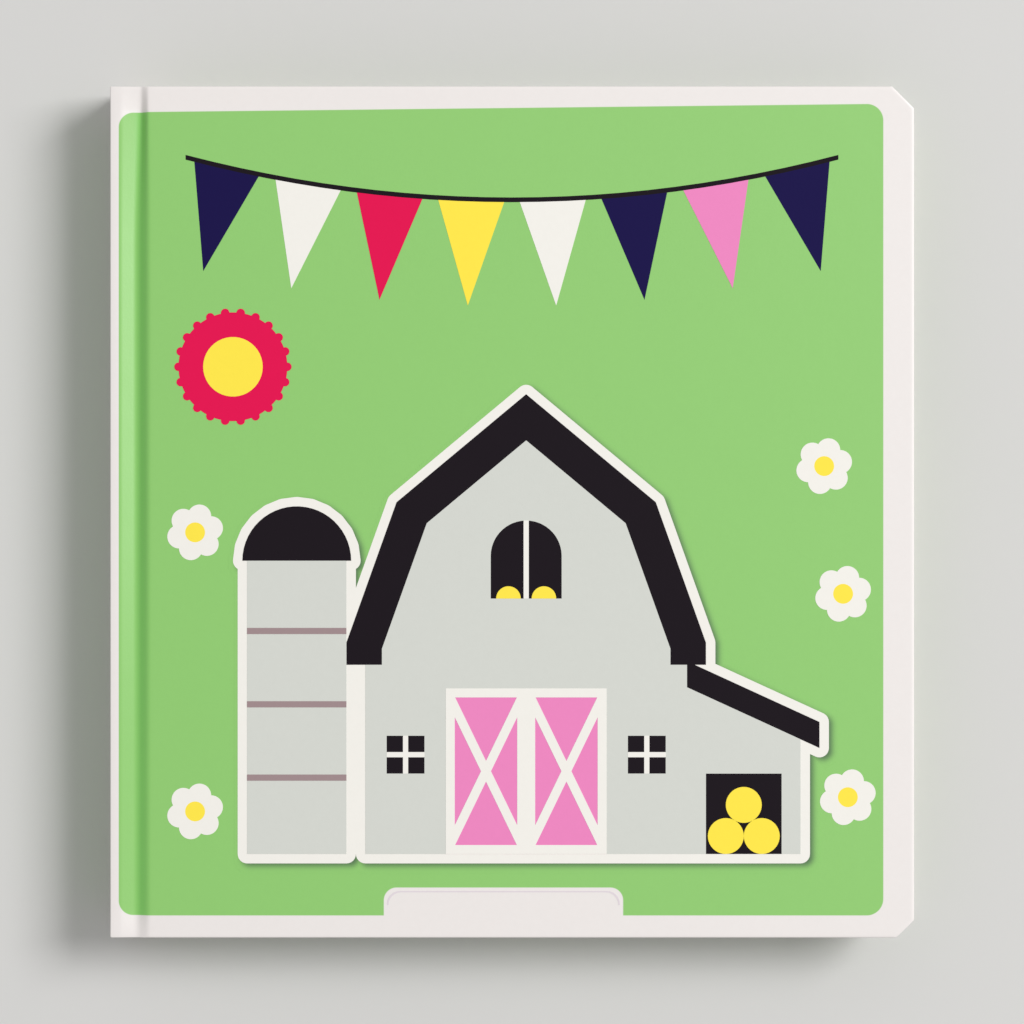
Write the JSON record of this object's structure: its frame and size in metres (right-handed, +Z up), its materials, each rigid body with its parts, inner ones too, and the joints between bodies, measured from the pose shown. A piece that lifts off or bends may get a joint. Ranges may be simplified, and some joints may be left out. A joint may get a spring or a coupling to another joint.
{
  "type": "pop-up book",
  "caption": "Closed hardback pop-up book with clipped fore-edge corners, a green printed cover with a farmyard picture, and folded pop-up cards between stiff leaves.",
  "frame": {"origin": "centre of the closed book's footprint, on the table", "axes": "the spine is at -X and the fore-edge at +X, the head is at +Y, and +Z is up, out of the front cover; the book lies closed on its back cover"},
  "size_m": [0.17, 0.18, 0.0189],
  "materials": {
    "page_card": "matt uncoated",
    "grey_board": "matt",
    "cover_paper": "satin laminated",
    "green_print": "satin laminated",
    "pale_grey_card": "matt",
    "green_card": "matt",
    "crimson_card": "matt",
    "yellow_card": "matt",
    "shadow_print": "satin laminated",
    "white_print": "satin laminated",
    "grey_print": "satin laminated",
    "black_print": "satin laminated",
    "pink_print": "satin laminated",
    "crimson_print": "satin laminated",
    "yellow_print": "satin laminated",
    "navy_print": "satin laminated",
    "mauve_print": "satin laminated"
  },
  "bodies": {
    "pages": {"page_block": "page_card", "spine_board": "grey_board", "spine_sheet": "cover_paper", "spine_field_green": "green_print", "front_hinge_field_green": "green_print", "back_hinge_field_green": "green_print", "popup_1_barn": "pale_grey_card", "popup_1_brace": "page_card", "popup_2_tree": "green_card", "popup_2_brace": "page_card", "popup_3_cart": "crimson_card", "popup_3_brace": "page_card", "popup_4_haystack": "yellow_card", "popup_4_brace": "page_card", "popup_5_fence": "page_card", "popup_5_brace": "page_card"},
    "front_cover": {"front_board": "grey_board", "front_sheet": "cover_paper", "front_pastedown": "page_card", "front_field_green": "green_print", "print_shadow": "shadow_print", "print_white": "white_print", "print_grey": "grey_print", "print_black": "black_print", "print_pink": "pink_print", "print_crimson": "crimson_print", "print_yellow": "yellow_print", "print_navy": "navy_print", "print_mauve": "mauve_print"},
    "back_cover": {"back_board": "grey_board", "back_sheet": "cover_paper", "back_pastedown": "page_card", "back_field_green": "green_print"}
  },
  "joints": [
    {"name": "front_cover_hinge", "type": "hinge", "parent": "pages", "child": "front_cover", "pos_m": [-0.0784, 0, 0.01865], "axis": [0, -1, 0], "range_deg": [0, 179.9]},
    {"name": "back_cover_hinge", "type": "hinge", "parent": "pages", "child": "back_cover", "pos_m": [-0.0784, 0, 0.00015], "axis": [0, 1, 0], "range_deg": [0, 179.9]}
  ]
}
